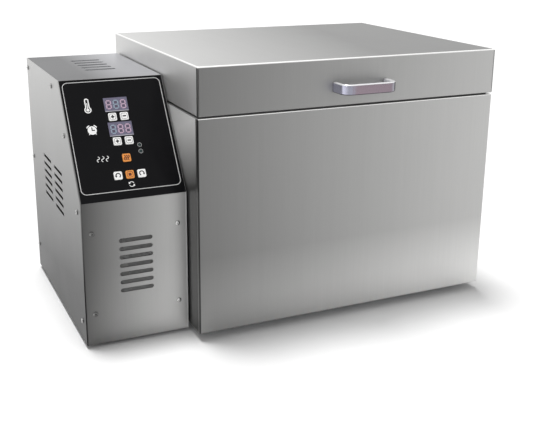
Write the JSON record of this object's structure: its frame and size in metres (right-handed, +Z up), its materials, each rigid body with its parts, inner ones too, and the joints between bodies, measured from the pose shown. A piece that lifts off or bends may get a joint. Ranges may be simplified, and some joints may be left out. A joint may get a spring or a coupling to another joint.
{
  "type": "countertop coffee bean roaster",
  "caption": "Box-shaped countertop roaster with a hinged insulated lid, a heated well, a lift-out rotating drum with a sliding door and a side control box with a sloped key panel.",
  "frame": {"origin": "on the floor, under the middle of the whole roaster's bounding box", "axes": "+X to the right as the user faces it, +Y to the back, +Z up; the handle and the control panel face -Y"},
  "size_m": [0.66, 0.4544, 0.407],
  "materials": {
    "stainless_skin": "satin brushed",
    "galvanised_sheet": "matte galvanised",
    "silicone_gasket": "matte",
    "black_rubber": "matte",
    "screw_steel": "satin",
    "well_steel": "satin",
    "drum_steel": "satin",
    "ceramic_wool": "matte",
    "heater_sheath": "dark oxidised",
    "ferrule_brass": "turned",
    "motor_paint": "semi-gloss",
    "polished_handle": "polished",
    "ceramic_bead": null,
    "black_nylon": "matte",
    "panel_film": "gloss",
    "display_lens": "gloss",
    "lamp_lens": "gloss",
    "circuit_board": "satin",
    "key_white": "satin",
    "key_orange": "satin"
  },
  "bodies": {
    "base": {"front_panel": "stainless_skin", "rear_panel": "stainless_skin", "left_side_panel": "stainless_skin", "right_side_panel": "stainless_skin", "base_plate": "galvanised_sheet", "top_deck": "stainless_skin", "lid_gasket": "silicone_gasket", "rubber_feet": "black_rubber", "case_screws": "screw_steel", "drum_well": "well_steel", "well_end_left": "well_steel", "well_end_right": "well_steel", "well_insulation": "ceramic_wool", "tube_heaters": "heater_sheath", "heater_ferrules": "ferrule_brass", "heater_saddles": "well_steel", "temperature_probe": "stainless_skin", "drum_cradles": "well_steel", "shaft_bush": "ferrule_brass", "motor_bracket": "galvanised_sheet", "gear_motor": "motor_paint", "hinge_body_leaves": "screw_steel", "hinge_pins": "screw_steel", "control_shell": "stainless_skin", "control_cover": "stainless_skin", "control_front": "stainless_skin", "control_screws": "screw_steel", "heat_spacers": "ceramic_bead", "cable_gland": "black_nylon", "heater_relay": "black_nylon", "terminal_block": "ceramic_bead", "panel_overlay": "panel_film", "panel_displays": "display_lens", "panel_lamps": "lamp_lens", "control_board": "circuit_board", "board_standoffs": "ferrule_brass", "key_switches": "black_nylon"},
    "lid": {"lid_skin": "stainless_skin", "lid_pan": "well_steel", "lid_insulation": "ceramic_wool", "lid_handle": "polished_handle", "lid_screws": "screw_steel", "hinge_lid_leaves": "screw_steel"},
    "drum": {"drum_shell": "drum_steel", "drum_ends": "drum_steel", "drum_vanes": "drum_steel", "door_rails": "drum_steel", "drum_journals": "screw_steel"},
    "drum_door": {"drum_door": "drum_steel", "door_pull": "screw_steel"},
    "drive": {"drive_shaft": "screw_steel"},
    "temperature_up_key": {"temperature_up_key": "key_white"},
    "temperature_down_key": {"temperature_down_key": "key_white"},
    "time_up_key": {"time_up_key": "key_white"},
    "time_down_key": {"time_down_key": "key_white"},
    "heat_key": {"heat_key": "key_orange"},
    "drum_forward_key": {"drum_forward_key": "key_white"},
    "drum_stop_key": {"drum_stop_key": "key_orange"},
    "drum_reverse_key": {"drum_reverse_key": "key_white"}
  },
  "joints": [
    {"name": "lid_hinge", "type": "hinge", "parent": "base", "child": "lid", "pos_m": [0.08, 0.22325, 0.3362], "axis": [-1, 0, 0], "range_deg": [0, 100]},
    {"name": "drum_spin", "type": "hinge", "parent": "base", "child": "drum", "pos_m": [0.08, 0.01175, 0.2155], "axis": [1, 0, 0], "continuous": true},
    {"name": "drive_spin", "type": "hinge", "parent": "base", "child": "drive", "pos_m": [0.08, 0.01175, 0.2155], "axis": [1, 0, 0], "continuous": true},
    {"name": "door_slide", "type": "hinge", "parent": "drum", "child": "drum_door", "pos_m": [0.08, 0.01175, 0.2155], "axis": [-1, 0, 0], "range_deg": [0, 50]},
    {"name": "temperature_up_press", "type": "slide", "parent": "base", "child": "temperature_up_key", "axis": [0, 0.8279, -0.5608], "range_m": [0, 0.0005], "stiffness_N_per_m": 400},
    {"name": "temperature_down_press", "type": "slide", "parent": "base", "child": "temperature_down_key", "axis": [0, 0.8279, -0.5608], "range_m": [0, 0.0005], "stiffness_N_per_m": 400},
    {"name": "time_up_press", "type": "slide", "parent": "base", "child": "time_up_key", "axis": [0, 0.8279, -0.5608], "range_m": [0, 0.0005], "stiffness_N_per_m": 400},
    {"name": "time_down_press", "type": "slide", "parent": "base", "child": "time_down_key", "axis": [0, 0.8279, -0.5608], "range_m": [0, 0.0005], "stiffness_N_per_m": 400},
    {"name": "heat_press", "type": "slide", "parent": "base", "child": "heat_key", "axis": [0, 0.8279, -0.5608], "range_m": [0, 0.0005], "stiffness_N_per_m": 400},
    {"name": "drum_forward_press", "type": "slide", "parent": "base", "child": "drum_forward_key", "axis": [0, 0.8279, -0.5608], "range_m": [0, 0.0005], "stiffness_N_per_m": 400},
    {"name": "drum_stop_press", "type": "slide", "parent": "base", "child": "drum_stop_key", "axis": [0, 0.8279, -0.5608], "range_m": [0, 0.0005], "stiffness_N_per_m": 400},
    {"name": "drum_reverse_press", "type": "slide", "parent": "base", "child": "drum_reverse_key", "axis": [0, 0.8279, -0.5608], "range_m": [0, 0.0005], "stiffness_N_per_m": 400}
  ],
  "couplings": [
    {"joint": "drive_spin", "follows": "drum_spin", "ratio": 1}
  ]
}
